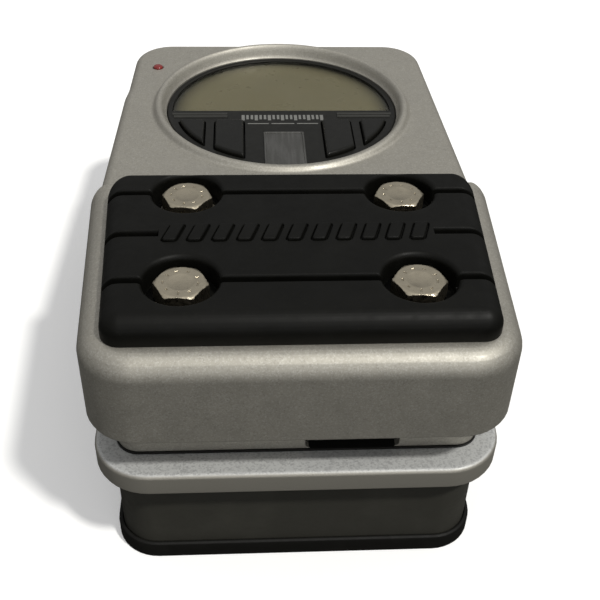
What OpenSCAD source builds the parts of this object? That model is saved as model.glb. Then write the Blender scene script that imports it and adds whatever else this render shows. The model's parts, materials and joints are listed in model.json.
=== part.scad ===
// Foot-operated strobe tuner pedal.
// Millimetres. X to the right, Y away from the player, Z up.
// Origin: on the floor, under the middle of the cast flange.

/* [Base] */
// Length of the cast flange, front to back
flange_l = 127.4; // [110:1:150]
// Width of the cast flange
flange_w = 71.4; // [60:0.2:85]
// Thickness of the flange plate
flange_t = 4.5; // [2:0.2:8]
// Height of the flange's underside above the floor
flange_z = 20.3; // [15:0.1:30]
// Width of the black tub below the flange
tub_w = 65; // [50:0.5:75]
// Length of the black tub
tub_l = 121.2; // [100:0.2:140]
// Height of the rubber foot's lip above the floor
foot_h = 3.6; // [3:0.1:10]
// Width of the rubber foot over its lip
foot_w = 66.8; // [52:0.5:80]

/* [Housing] */
// Width of the housing at its near end, beside the hinge
housing_w = 76.4; // [60:0.2:85]
// Width of the housing's narrower far end
housing_far_w = 72; // [60:0.2:85]
// Height of the housing's flat top above the floor
housing_z = 44.8; // [38:0.1:60]
// Height of the deck under the treadle
deck_z = 38.6; // [34:0.1:48]
// Width of the recessed front part under the treadle
front_w = 63; // [50:0.5:72]
// Cast wall thickness
wall = 2.5; // [2:0.1:4]

/* [Display] */
// Distance of the display's centre behind the origin
display_y = 30.3; // [20:0.1:35]
// Radius of the display well
well_r = 26.6; // [20:0.1:30]
// Height of the raised ring above the housing's top
ring_h = 2.5; // [1:0.1:5]
// Height of that ring at its near side
ring_near_h = 0.9; // [0.5:0.1:5]
// Mean radius of the ring's crest
ring_r = 28.2; // [22:0.1:32]
// Travel of each button
button_travel = 0.6; // [0.2:0.1:1]

/* [Treadle] */
// Width of the treadle at its front
treadle_w = 71.8; // [60:0.2:85]
// Width of the treadle at its far end, beside the hinge
treadle_far_w = 76.4; // [60:0.2:85]
// Front face of the treadle, distance in front of the origin
treadle_front = 64.6; // [58:0.1:75]
// Far edge of the treadle, distance in front of the origin
treadle_back = 12.8; // [8:0.1:20]
// Height of the treadle's top plate
treadle_z = 51.1; // [46:0.1:65]
// Height of the skirts' lower edge
skirt_z = 33.9; // [28:0.1:42]
// Radius along the treadle's upper edges
treadle_edge_r = 4; // [1:0.5:6]

/* [Pad] */
// Width of the rubber pad at its near edge
pad_w = 61.4; // [50:0.2:70]
// Width of the rubber pad at its far edge
pad_far_w = 65.4; // [50:0.2:70]
// Thickness of the rubber pad
pad_t = 5; // [3:0.5:8]
// Spacing of the pad bolts across the treadle
bolt_dx = 38.5; // [30:0.5:50]
// Spacing of the pad bolts along the treadle
bolt_dy = 25.5; // [18:0.5:35]
// Radius of each bolt recess in the pad
recess_r = 6.3; // [5:0.1:8]

/* [Sockets] */
// Radius of the quarter-inch plug sockets
plug_r = 3.2; // [3.175:0.005:3.3]
// Depth of the quarter-inch plug sockets
plug_depth = 27; // [22:0.5:32]
// Radius of the power socket
power_r = 2.85; // [2.5:0.05:3]

/* [Hidden] */
$fn = 64;
bite = 0.01;
hex = 6;
gap = 0.1;
flange_top = flange_z + flange_t;
half_l = flange_l / 2;
front_y = -57.6;
front_corner_r = 4;
block_y = -11.5;
shoulder_y = 38;
far_r = 8;
roof_t = 3;
roof_z = housing_z - roof_t;
inner_far_y = half_l - wall;
housing_widths = [housing_w, housing_far_w];
side_wall = 3.4;
ring_mid_z = housing_z + (ring_h + ring_near_h) / 2;
ring_tilt = atan((ring_h - ring_near_h) / (2 * ring_r));

post_x = 26;
post_near_y = -54;
post_far_y = 56;
post_r = 3.5;
far_post_z = 32.6;
screw_r = 1.45;
screw_top_z = 29.6;
tub_floor_z = 1;
tub_floor_t = 1.8;
tub_wall = 2;

fascia_z = 42.3;
fascia_t = 1.6;
fascia_top = fascia_z + fascia_t;
fascia_r = well_r - 0.2;
ledge_r = well_r - 0.9;
window_r = 25;
window_y = 29.3;
lcd_z = 40.2;
display_board_z = 37.2;
main_board_z = 22.6;
board_t = 1.6;
button_top = 44.9;
button_flange_z = 41.5;
button_y1 = 24;
// Each button's inner edge, outer edge and the radius that trims it
inner_button = [8.9, 15.3, 23.9];
outer_button = [17.7, well_r, 24.3];
board_post_x = 27.5;
board_posts_y = [2.5, 55];
led_x = -29.8;
led_y = 50.2;

hinge_y = -16.5;
hinge_z = 43.2;
hinge_r = 1.75;
hinge_bore_r = hinge_r + 0.05;
lug_r = 3.2;
lug_x0 = 24.4;
lug_x1 = 28.4;
boss_x0 = 28.9;
treadle_t = 3;
treadle_inner_z = treadle_z - treadle_t;
treadle_widths = [treadle_w, treadle_far_w];
pad_near = -60.4;
pad_far = -17.6;
pad_top = treadle_z + pad_t;
bolt_y = -37;
bolt_r = 2.4;
bolt_end_z = 42.6;
bolt_hole_r = 2.7;
head_af = 8;
head_h = 3.4;
washer_t = 1;
spring_x = 27;
spring_r = 3;
spring_wire = 0.8;
switch_y = -37;
plunger_r = 3.5;
bushing_r = 6;
bushing_h = 3.5;

slot_x = 9.2;
slot_w = 16.4;
slot_z = 25.4;
slot_h = 5.2;

jack_y = 1;
jack_z = 28;
jack_box = 12.4;
jack_box_x = 34;
jack_face_x = 37.4;
jack_washer_t = 0.8;
jack_seat_r = 7.8;
jack_thread_r = 4.7;
jack_hole_r = jack_thread_r + gap;
jack_tip_x = 41.8;
dc_x = -18;
dc_z = 29.7;
lift_x = 13.5;
lift_z = 28.2;

battery_y = 8.25;
battery_z = 3;

// ---- shared shapes ----

// Direction that a slanted side faces, from its two corner circles
function side_turn(c0, c1, r0, r1) =
    atan2(c1[1] - c0[1], c1[0] - c0[0]) - acos((r0 - r1) / norm(c1 - c0));
function near_corner(w, y0, r0) = [w[0] / 2 - r0, y0 + r0];
function far_corner(w, y1, r1) = [w[1] / 2 - r1, y1 - r1];
function facing(turn) = [cos(turn), sin(turn)];

// Plan outline centred on X, w = [near width, far width], from y0 to y1, corner radii r0 and r1
module plan(w, y0, y1, r0, r1) {
    c0 = near_corner(w, y0, r0);
    c1 = far_corner(w, y1, r1);
    n = facing(side_turn(c0, c1, r0, r1));
    t0 = c0 + r0 * n;
    t1 = c1 + r1 * n;
    polygon([[-c0[0], y0], [c0[0], y0], t0, t1, [c1[0], y1], [-c1[0], y1],
             [-t1[0], t1[1]], [-t0[0], t0[1]]]);
    for (side = [-1, 1]) {
        translate([side * c0[0], c0[1]])
            circle(r0);
        translate([side * c1[0], c1[1]])
            circle(r1);
    }
}

// Upright section from a0 to a1 and from z0 to z1 with rounded upper corners
module crown_section(a0, a1, z0, z1, r0, r1) {
    translate([a0, z0])
        square([a1 - a0, z1 - z0 - max(r0, r1)]);
    translate([a0 + r0, z0])
        square([a1 - a0 - r0 - r1, z1 - z0]);
    translate([a0 + r0, z1 - r0])
        circle(r0);
    translate([a1 - r1, z1 - r1])
        circle(r1);
    translate([a0, z0])
        square([r0 + bite, z1 - z0 - r0]);
    translate([a1 - r1 - bite, z0])
        square([r1 + bite, z1 - z0 - r1]);
}

// Everything inward of the right-hand side, with that side's upper edge rounded
module side_crown(w, y0, y1, z0, z1, r0, r1, edge_r) {
    c0 = near_corner(w, y0, r0);
    c1 = far_corner(w, y1, r1);
    turn = side_turn(c0, c1, r0, r1);
    foot = c0 + r0 * facing(turn);
    reach = 2 * (y1 - y0);
    translate([foot[0], foot[1], 0])
        rotate([0, 0, turn])
            translate([0, reach, 0])
                rotate([90, 0, 0])
                    linear_extrude(2 * reach)
                        crown_section(-1.5 * max(w), 0, z0, z1, edge_r, edge_r);
}

// Block with rounded plan corners and rounded upper edges
module crowned_block(w, y0, y1, z0, z1, r0, r1, side_r, front_r, back_r) {
    span = max(w) + 2;
    intersection() {
        prism(w, y0, y1, z0, z1, r0, r1);
        side_crown(w, y0, y1, z0, z1, r0, r1, side_r);
        mirror([1, 0, 0])
            side_crown(w, y0, y1, z0, z1, r0, r1, side_r);
        translate([-span / 2, 0, 0])
            rotate([90, 0, 90])
                linear_extrude(span)
                    crown_section(y0, y1, z0, z1, front_r, back_r);
    }
}

module prism(w, y0, y1, z0, z1, r0, r1) {
    translate([0, 0, z0])
        linear_extrude(z1 - z0)
            plan(w, y0, y1, r0, r1);
}

// Prism of a plan like that of prism(), with square near corners and chamfered far corners
module chamfered_prism(w, y0, y1, z0, z1, chamfer) {
    a = w[0] / 2;
    b = w[1] / 2;
    translate([0, 0, z0])
        linear_extrude(z1 - z0)
            polygon([[-a, y0], [a, y0], [b, y1 - chamfer], [b - chamfer, y1], [chamfer - b, y1],
                     [-b, y1 - chamfer]]);
}

module box(x0, x1, y0, y1, z0, z1) {
    translate([x0, y0, z0])
        cube([x1 - x0, y1 - y0, z1 - z0]);
}

module rod_x(r, x0, x1, y, z) {
    translate([x0, y, z])
        rotate([0, 90, 0])
            cylinder(r = r, h = x1 - x0);
}

module rod_y(r, y0, y1, x, z) {
    translate([x, y1, z])
        rotate([90, 0, 0])
            cylinder(r = r, h = y1 - y0);
}

module rod_z(r, z0, z1, x, y) {
    translate([x, y, z0])
        cylinder(r = r, h = z1 - z0);
}

// Hexagonal prism standing on Z with a bore
module hex_nut(across_flats, bore_r, h) {
    difference() {
        cylinder(d = across_flats / cos(30), h = h, $fn = hex);
        translate([0, 0, -1])
            cylinder(r = bore_r, h = h + 2);
    }
}

module at_base_posts() {
    for (side = [-1, 1], y = [post_near_y, post_far_y])
        translate([side * post_x, y, 0])
            children();
}

module at_pad_bolts() {
    for (sx = [-1, 1], sy = [-1, 1])
        translate([sx * bolt_dx / 2, bolt_y + sy * bolt_dy / 2, 0])
            children();
}

module at_board_posts() {
    for (side = [-1, 1], y = board_posts_y)
        translate([side * board_post_x, y, 0])
            children();
}

// ---- base ----

module rubber_foot() {
    foot_l = tub_l + foot_w - tub_w;
    lip_z = 1.6;
    bead = 0.6;
    body_w = foot_w - 2 * bead;
    pocket_w = tub_w + 2 * gap;
    pocket_y = tub_l / 2 + gap;
    color([0.05, 0.05, 0.05])
        difference() {
            union() {
                prism([body_w, body_w], -foot_l / 2 + bead, foot_l / 2 - bead, 0, foot_h, 7.3, 7.3);
                prism([foot_w, foot_w], -foot_l / 2, foot_l / 2, lip_z, foot_h, 7.9, 7.9);
            }
            prism([pocket_w, pocket_w], -pocket_y, pocket_y, tub_floor_z, foot_h + 1, 7.1, 7.1);
            at_base_posts()
                rod_z(3.2, -1, foot_h, 0, 0);
        }
}

module base_tub() {
    inner_w = tub_w - 2 * tub_wall;
    inner_y = tub_l / 2 - tub_wall;
    floor_top = tub_floor_z + tub_floor_t;
    color([0.12, 0.12, 0.12])
        difference() {
            union() {
                difference() {
                    prism([tub_w, tub_w], -tub_l / 2, tub_l / 2, tub_floor_z, flange_z, 7, 7);
                    prism([inner_w, inner_w], -inner_y, inner_y, floor_top, flange_z + 1, 5, 5);
                }
                at_base_posts()
                    rod_z(post_r, floor_top - bite, flange_z, 0, 0);
            }
            at_base_posts() {
                rod_z(3, tub_floor_z - 1, floor_top, 0, 0);
                rod_z(1.7, tub_floor_z, flange_z + 1, 0, 0);
            }
        }
}

module base_screws() {
    head_z = tub_floor_z + 0.2;
    seat_z = tub_floor_z + tub_floor_t;
    color([0.6, 0.6, 0.62])
        at_base_posts()
            difference() {
                union() {
                    rod_z(2.7, head_z, seat_z, 0, 0);
                    rod_z(screw_r, seat_z - bite, screw_top_z, 0, 0);
                }
                for (turn = [0, 90])
                    rotate([0, 0, turn])
                        translate([-1.6, -0.3, head_z - 1])
                            cube([3.2, 0.6, 1.9]);
            }
}

// ---- cast housing ----

// Section of the raised ring round the display well, its crest at height 0
module ring_section() {
    crest_r = 1.2;
    low_z = roof_z + 1 - ring_mid_z;
    shelf_z = housing_z - ring_mid_z;
    translate([ring_r, -crest_r])
        circle(crest_r);
    polygon([[well_r - 0.3, low_z], [well_r - 0.3, shelf_z - 1], [ring_r - 1, 0.66 - crest_r],
             [ring_r, -crest_r], [ring_r + 1, 0.66 - crest_r], [ring_r + 2.8, shelf_z],
             [ring_r + 2.8, low_z]]);
}

module housing_outside() {
    prism([flange_w, flange_w], -half_l, half_l, flange_z, flange_top, 10, far_r);
    prism([front_w, front_w], front_y, block_y + far_r, flange_top - bite, deck_z, front_corner_r, 1);
    crowned_block(housing_widths, block_y, half_l, flange_top - bite, housing_z, 1, far_r, 2, 0.6, 2);
    translate([0, display_y, ring_mid_z])
        rotate([ring_tilt, 0, 0])
            rotate_extrude()
                ring_section();
}

module housing_hollow() {
    inner_w = [1, 1] * (front_w - 2 * wall);
    room = jack_box / 2 + gap;
    room_x = jack_box_x + gap;
    prism(inner_w, front_y + wall, block_y + far_r, flange_z - 1, deck_z - wall, 2, 1);
    prism(inner_w, block_y, inner_far_y, flange_z - 1, flange_top + bite, 1, 5);
    chamfered_prism(housing_widths - [2, 2] * side_wall, block_y + wall, inner_far_y, flange_top, roof_z, 4);
    box(-room_x, room_x, jack_y - room, jack_y + room, jack_z - room, flange_top + bite);
}

module housing_posts() {
    for (side = [-1, 1]) {
        rod_z(post_r, flange_z, deck_z - wall + bite, side * post_x, post_near_y);
        rod_z(post_r, flange_z, far_post_z, side * post_x, post_far_y);
        box(side * post_x - 1.5, side * post_x + 1.5, post_far_y, inner_far_y + bite, flange_z, far_post_z);
    }
    at_board_posts()
        rod_z(2.5, display_board_z + board_t, roof_z + bite, 0, 0);
}

module hinge_lugs() {
    for (side = [0, 1])
        mirror([side, 0, 0]) {
            rod_x(lug_r, lug_x0, lug_x1, hinge_y, hinge_z);
            box(lug_x0, lug_x1, hinge_y - lug_r, hinge_y + lug_r, deck_z - bite, hinge_z);
        }
}

module spring_pegs() {
    for (side = [-1, 1])
        rod_z(1.6, deck_z - bite, deck_z + 2, side * spring_x, switch_y);
}

module housing_openings() {
    rod_z(ledge_r, roof_z - 1, fascia_z, 0, display_y);
    rod_z(well_r, fascia_z - bite, housing_z + ring_h, 0, display_y);
    rod_z(1.3, roof_z - 1, housing_z + 1, led_x, led_y);
    rod_z(bushing_r + gap, deck_z - wall - 1, deck_z + 1, 0, switch_y);
    rod_x(hinge_bore_r, -lug_x1 - 1, lug_x1 + 1, hinge_y, hinge_z);
    for (side = [0, 1])
        mirror([side, 0, 0]) {
            rod_x(jack_hole_r, jack_box_x - 2, housing_w / 2 + 1, jack_y, jack_z);
            rod_x(jack_seat_r, jack_face_x, housing_w / 2 + 1, jack_y, jack_z);
        }
    rod_y(4.3, inner_far_y - 1, half_l + 1, dc_x, dc_z);
    box(lift_x - 4.6, lift_x + 4.6, inner_far_y - 1, half_l + 1, lift_z - 2, lift_z + 2);
    box(slot_x - slot_w / 2, slot_x + slot_w / 2, front_y - 1, front_y + wall + 1, slot_z, slot_z + slot_h);
    at_base_posts()
        rod_z(screw_r + 0.05, flange_z - 1, screw_top_z + 1, 0, 0);
    at_board_posts()
        rod_z(1.25, display_board_z, roof_z - 0.5, 0, 0);
}

module housing() {
    color([0.62, 0.61, 0.57])
        difference() {
            union() {
                difference() {
                    housing_outside();
                    housing_hollow();
                }
                housing_posts();
                hinge_lugs();
                spring_pegs();
            }
            housing_openings();
        }
}

// Black moulded insert behind the slot in the front wall
module slot_insert() {
    face_y = front_y + 0.8;
    back_y = front_y + wall + 0.1;
    color([0.03, 0.03, 0.03]) {
        box(slot_x - slot_w / 2 + gap, slot_x + slot_w / 2 - gap, face_y, back_y + 1,
            slot_z + gap, slot_z + slot_h - gap);
        box(slot_x - slot_w / 2 - 2, slot_x + slot_w / 2 + 2, back_y, back_y + 1.5,
            slot_z + gap, slot_z + slot_h + 2);
    }
}

// ---- foot switch and hinge ----

module hinge_pin() {
    color([0.7, 0.7, 0.7])
        rod_x(hinge_r, -37.4, 37.4, hinge_y, hinge_z);
}

// One flat-wire compression spring standing on the deck
module coil(r, wire, h, turns) {
    pitch = h / turns;
    span = 360 * wire / pitch;
    steps = 4;
    angles = [for (i = [0:steps]) span * i / steps];
    outer = [for (a = angles) (r + wire / 2) * [cos(a), sin(a)]];
    inner = [for (i = [steps:-1:0]) (r - wire / 2) * [cos(angles[i]), sin(angles[i])]];
    linear_extrude(height = h, twist = -360 * turns, slices = 72, $fn = 8)
        polygon(concat(outer, inner));
}

module return_springs() {
    color([0.7, 0.7, 0.72])
        for (side = [-1, 1])
            translate([side * spring_x, switch_y, deck_z + 0.05])
                coil(spring_r, spring_wire, treadle_inner_z - deck_z - 0.1, 4.5);
}

module footswitch_body() {
    body_top = deck_z - wall - gap;
    body_h = 20;
    color([0.15, 0.15, 0.35])
        difference() {
            union() {
                box(-8.5, 8.5, switch_y - 9, switch_y + 9, body_top - body_h, body_top);
                rod_z(bushing_r, body_top - bite, deck_z + bushing_h, 0, switch_y);
            }
            rod_z(plunger_r + 0.05, deck_z - 12, deck_z + bushing_h + 1, 0, switch_y);
        }
}

module footswitch_nut() {
    color([0.7, 0.7, 0.7])
        translate([0, switch_y, deck_z])
            hex_nut(15, bushing_r + gap, 2.2);
}

module footswitch_plunger() {
    shoulder_z = treadle_inner_z - 1.3;
    color([0.75, 0.75, 0.75]) {
        rod_z(plunger_r, deck_z - 10, shoulder_z, 0, switch_y);
        rod_z(1.5, shoulder_z - bite, treadle_inner_z - 0.25, 0, switch_y);
    }
}

// ---- display ----

// Everything of the well's disc above the line y = window_y, out to radius r
module window_shape(r, y0) {
    intersection() {
        translate([0, display_y])
            circle(r);
        translate([-r, y0])
            square([2 * r, 2 * r]);
    }
}

// Outline of one right-hand button, grown all round by extra
module button_outline(button, extra) {
    x0 = button[0] - extra;
    x1 = button[1] + extra;
    intersection() {
        translate([0, display_y])
            circle(button[2] + extra);
        translate([x0, display_y - well_r])
            square([x1 - x0, button_y1 + extra - display_y + well_r]);
    }
}

module fascia() {
    well_gap = 0.35;
    color([0.06, 0.06, 0.06])
        difference() {
            union() {
                rod_z(fascia_r, fascia_z, fascia_top, 0, display_y);
                intersection() {
                    rod_z(fascia_r - 0.4, fascia_top - bite, fascia_top + 0.4, 0, display_y);
                    for (side = [0, 1])
                        mirror([side, 0, 0])
                            box(12.8, well_r, 27, 27.8, fascia_z, fascia_top + 0.4);
                }
            }
            translate([0, 0, fascia_z + 0.4])
                linear_extrude(fascia_t)
                    window_shape(window_r, window_y);
            translate([0, 0, fascia_z - 1])
                linear_extrude(fascia_t + 1)
                    window_shape(window_r - 1, window_y + 1);
            for (side = [0, 1])
                mirror([side, 0, 0])
                    translate([0, 0, fascia_z - 1])
                        linear_extrude(fascia_t + 2) {
                            button_outline(inner_button, well_gap);
                            button_outline(outer_button, well_gap);
                        }
        }
}

module display_lens() {
    color([0.7, 0.7, 0.65, 0.35])
        translate([0, 0, fascia_z + 0.4])
            linear_extrude(0.9)
                window_shape(window_r - gap, window_y + gap);
}

module lcd_panel() {
    color([0.5, 0.48, 0.4])
        box(-25, 25, 28.6, 54.6, lcd_z, lcd_z + 1.5);
}

module backlight() {
    color([0.9, 0.9, 0.85])
        box(-24.5, 24.5, 29, 54, display_board_z + board_t + 0.2, lcd_z - gap);
}

module centre_plaque() {
    color([0.35, 0.35, 0.35])
        translate([0, 0, fascia_top])
            linear_extrude(0.4)
                intersection() {
                    translate([0, display_y])
                        circle(well_r - 0.5);
                    translate([-4.5, 0])
                        square([9, 18.9]);
                }
}

// A push button: cap above, retaining flange below the fascia
module push_button(button) {
    flange_t = 0.7;
    color([0.08, 0.08, 0.08])
        translate([0, 0, button_flange_z]) {
            linear_extrude(button_top - button_flange_z)
                button_outline(button, 0);
            linear_extrude(flange_t)
                button_outline(button, 0.8);
        }
}

module button_outer_left() {
    mirror([1, 0, 0])
        push_button(outer_button);
}

module button_inner_left() {
    mirror([1, 0, 0])
        push_button(inner_button);
}

module button_inner_right() {
    push_button(inner_button);
}

module button_outer_right() {
    push_button(outer_button);
}

module button_switches() {
    base_z = display_board_z + board_t;
    contact_gap = 0.2;
    color([0.2, 0.2, 0.2])
        for (side = [-1, 1], spot = [[11.7, 17], [19.6, 20]])
            translate([side * spot[0], spot[1], base_z]) {
                translate([-2.2, -2.2, 0])
                    cube([4.4, 4.4, 1.2]);
                cylinder(r = 1.2, h = button_flange_z - button_travel - contact_gap - base_z);
            }
}

module power_led() {
    lens_z = housing_z + 0.1;
    color([0.6, 0.05, 0.05]) {
        rod_z(1.2, display_board_z + board_t, lens_z, led_x, led_y);
        translate([led_x, led_y, lens_z])
            intersection() {
                translate([0, 0, -1.2])
                    sphere(1.7);
                cylinder(r = 1.2, h = 2);
            }
    }
}

// ---- boards and fittings ----

module display_board() {
    color([0.05, 0.3, 0.15])
        difference() {
            box(-30.5, 30.5, 0.3, 56.8, display_board_z, display_board_z + board_t);
            at_board_posts()
                rod_z(1.4, display_board_z - 1, display_board_z + board_t + 1, 0, 0);
        }
}

module board_screws() {
    color([0.6, 0.6, 0.62])
        at_board_posts() {
            rod_z(2.4, display_board_z - 1.5, display_board_z, 0, 0);
            rod_z(1.2, display_board_z - bite, roof_z - 0.7, 0, 0);
        }
}

module board_spacers() {
    color([0.75, 0.6, 0.3])
        for (side = [-1, 1], y = [17, 44])
            translate([side * 24, y, main_board_z + board_t])
                cylinder(d = 5, h = display_board_z - main_board_z - board_t, $fn = hex);
}

module main_board() {
    color([0.05, 0.3, 0.15])
        box(-28, 28, 12, 51.5, main_board_z, main_board_z + board_t);
}

// Right-hand panel jack, its open end at positive X
module panel_jack() {
    half = jack_box / 2;
    color([0.1, 0.1, 0.1])
        difference() {
            union() {
                box(11.5, jack_box_x, jack_y - half, jack_y + half, jack_z - half, jack_z + half);
                rod_x(jack_thread_r, jack_box_x - bite, jack_tip_x, jack_y, jack_z);
            }
            rod_x(plug_r, jack_tip_x - plug_depth, jack_tip_x + 1, jack_y, jack_z);
        }
}

module input_jack() {
    panel_jack();
}

module output_jack() {
    mirror([1, 0, 0])
        panel_jack();
}

module jack_washers() {
    color([0.7, 0.7, 0.7])
        for (side = [0, 1])
            mirror([side, 0, 0])
                difference() {
                    rod_x(7.4, jack_face_x, jack_face_x + jack_washer_t, jack_y, jack_z);
                    rod_x(jack_hole_r, jack_face_x - 1, jack_face_x + 2, jack_y, jack_z);
                }
}

module jack_nuts() {
    color([0.7, 0.7, 0.7])
        for (side = [0, 1])
            mirror([side, 0, 0])
                translate([jack_face_x + jack_washer_t, jack_y, jack_z])
                    rotate([0, 90, 0])
                        hex_nut(13, jack_hole_r, 2.2);
}

// Power socket: a plug bore with its contact pin set deep behind the mouth
module dc_inlet() {
    mouth_y = half_l - 0.2;
    bore_l = 6;
    well_l = 5;
    pin_well_r = 2.3;
    color([0.08, 0.08, 0.08])
        difference() {
            union() {
                box(dc_x - 4.5, dc_x + 4.5, 49, inner_far_y - gap, main_board_z + board_t, dc_z + 5.5);
                rod_y(4, inner_far_y - gap - bite, mouth_y, dc_x, dc_z);
            }
            rod_y(power_r, mouth_y - bore_l, mouth_y + 1, dc_x, dc_z);
            difference() {
                rod_y(pin_well_r, mouth_y - bore_l - well_l, mouth_y - bore_l + bite, dc_x, dc_z);
                rod_y(1, mouth_y - bore_l - well_l - 1, mouth_y - bore_l - 0.3, dc_x, dc_z);
            }
        }
}

module lift_switch_body() {
    face_y = inner_far_y - gap;
    color([0.2, 0.2, 0.22])
        difference() {
            box(lift_x - 6, lift_x + 6, 50, face_y, main_board_z + board_t, lift_z + 3.5);
            box(lift_x - 4.2, lift_x + 4.2, face_y - 3, face_y + 1, lift_z - 1.6, lift_z + 1.6);
        }
}

// Small lever, shown at the left stop of its slot
module lift_switch_lever() {
    x0 = lift_x - 4;
    color([0.1, 0.1, 0.1])
        box(x0, x0 + 4, inner_far_y - 2.8, half_l + 1.6, lift_z - 1.5, lift_z + 1.5);
}

module battery() {
    color([0.5, 0.5, 0.52]) {
        box(-24, 22.5, battery_y - 13.25, battery_y + 13.25, battery_z, battery_z + 17.5);
        for (side = [-1, 1])
            rod_x(3, 22.5 - bite, 24.5, battery_y + side * 6.4, battery_z + 8.75);
    }
}

module battery_snap() {
    color([0.05, 0.05, 0.05])
        box(24.7, 28.7, battery_y - 12, battery_y + 12, battery_z + 2, battery_z + 15.5);
}

// ---- treadle ----

module treadle() {
    boss_x1 = 36.6;
    color([0.62, 0.61, 0.57])
        difference() {
            union() {
                difference() {
                    crowned_block(treadle_widths, -treadle_front, -treadle_back, skirt_z, treadle_z,
                                  9.5, 3, treadle_edge_r, treadle_edge_r, 1);
                    prism(treadle_widths - [2, 2] * wall, -treadle_front + wall, -treadle_back + 10,
                          skirt_z - 1, treadle_inner_z, 7, 1);
                }
                for (side = [0, 1])
                    mirror([side, 0, 0])
                        rod_x(lug_r, boss_x0, boss_x1, hinge_y, hinge_z);
            }
            rod_x(hinge_bore_r, -treadle_far_w, treadle_far_w, hinge_y, hinge_z);
            at_pad_bolts()
                rod_z(bolt_hole_r, skirt_z, treadle_z + 1, 0, 0);
        }
}

// Row of slanted raised ribs across the middle of the pad
module pad_ribs() {
    rib_pitch = 4.2;
    rib_w = 2.3;
    rib_l = 4.6;
    lean = 1.4;
    for (i = [-5:5])
        translate([i * rib_pitch, switch_y, pad_top - bite])
            linear_extrude(0.4)
                polygon([[-rib_w / 2 - lean / 2, -rib_l / 2], [rib_w / 2 - lean / 2, -rib_l / 2],
                         [rib_w / 2 + lean / 2, rib_l / 2], [-rib_w / 2 + lean / 2, rib_l / 2]]);
}

module pad_grooves() {
    groove_w = 1;
    groove_z = pad_top - 2.4;
    short_x = 23.5;
    half_w = groove_w / 2;
    for (sy = [-1, 1])
        translate([0, bolt_y + sy * bolt_dy / 2, 0])
            box(-pad_w, pad_w, -half_w, half_w, groove_z, pad_top + 1);
    for (side = [0, 1])
        mirror([side, 0, 0])
            box(short_x, pad_w, bolt_y - half_w, bolt_y + half_w, groove_z, pad_top + 1);
}

module treadle_pad() {
    color([0.05, 0.05, 0.05]) {
        difference() {
            crowned_block([pad_w, pad_far_w], pad_near, pad_far, treadle_z, pad_top, 1.6, 1.6, 3.8, 2, 0.8);
            pad_grooves();
            at_pad_bolts()
                rod_z(recess_r, treadle_z - 1, pad_top + 1, 0, 0);
        }
        pad_ribs();
    }
}

module pad_washers() {
    color([0.7, 0.7, 0.7])
        at_pad_bolts()
            difference() {
                rod_z(5, treadle_z, treadle_z + washer_t, 0, 0);
                rod_z(bolt_hole_r, treadle_z - 1, treadle_z + 2, 0, 0);
            }
}

module pad_bolts() {
    seat_z = treadle_z + washer_t;
    chamfer = 0.9;
    color([0.78, 0.76, 0.72])
        at_pad_bolts() {
            intersection() {
                rotate([0, 0, 12])
                    translate([0, 0, seat_z])
                        cylinder(d = head_af / cos(30), h = head_h, $fn = hex);
                translate([0, 0, seat_z])
                    cylinder(r1 = head_af / 2 + head_h, r2 = head_af / 2, h = head_h + 0.2);
                rod_z(head_af, seat_z, seat_z + head_h, 0, 0);
            }
            rod_z(bolt_r, bolt_end_z, seat_z + bite, 0, 0);
        }
}

module pad_nuts() {
    nut_h = 4;
    color([0.7, 0.7, 0.7])
        at_pad_bolts()
            translate([0, 0, treadle_inner_z - nut_h])
                hex_nut(head_af, bolt_r + 0.05, nut_h);
}

rubber_foot();
base_tub();
base_screws();
housing();
slot_insert();
hinge_pin();
return_springs();
footswitch_body();
footswitch_nut();
footswitch_plunger();
fascia();
display_lens();
lcd_panel();
backlight();
centre_plaque();
button_outer_left();
button_inner_left();
button_inner_right();
button_outer_right();
button_switches();
power_led();
display_board();
board_screws();
board_spacers();
main_board();
input_jack();
output_jack();
jack_washers();
jack_nuts();
dc_inlet();
lift_switch_body();
lift_switch_lever();
battery();
battery_snap();
treadle();
treadle_pad();
pad_washers();
pad_bolts();
pad_nuts();
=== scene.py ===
import json
import math
import random
from collections import namedtuple

import bmesh
import bpy
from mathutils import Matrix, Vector


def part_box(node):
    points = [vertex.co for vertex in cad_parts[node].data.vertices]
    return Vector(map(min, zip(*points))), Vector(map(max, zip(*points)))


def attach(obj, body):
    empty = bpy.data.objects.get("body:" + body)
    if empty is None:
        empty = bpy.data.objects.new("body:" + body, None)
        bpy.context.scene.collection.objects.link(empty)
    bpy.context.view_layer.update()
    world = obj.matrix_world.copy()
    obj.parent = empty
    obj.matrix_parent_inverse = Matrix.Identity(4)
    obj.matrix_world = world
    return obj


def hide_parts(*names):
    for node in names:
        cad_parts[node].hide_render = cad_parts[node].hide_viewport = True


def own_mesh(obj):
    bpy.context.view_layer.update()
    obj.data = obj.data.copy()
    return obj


# Shapes are built in mm, which MM turns into metres
MM = 0.001
CORNER_STEPS = 10
SMOOTH_ANGLE = math.radians(32)

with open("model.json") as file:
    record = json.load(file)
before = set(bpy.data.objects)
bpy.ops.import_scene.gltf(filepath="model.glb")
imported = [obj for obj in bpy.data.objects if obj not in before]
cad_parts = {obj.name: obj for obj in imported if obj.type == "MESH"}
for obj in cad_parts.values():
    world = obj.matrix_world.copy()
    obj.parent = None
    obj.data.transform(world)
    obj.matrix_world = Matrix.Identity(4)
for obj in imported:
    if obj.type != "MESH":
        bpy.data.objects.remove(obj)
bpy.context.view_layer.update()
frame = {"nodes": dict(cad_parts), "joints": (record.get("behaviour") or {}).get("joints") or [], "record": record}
scene = bpy.context.scene


# ---------------------------------------------------------------- materials

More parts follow.
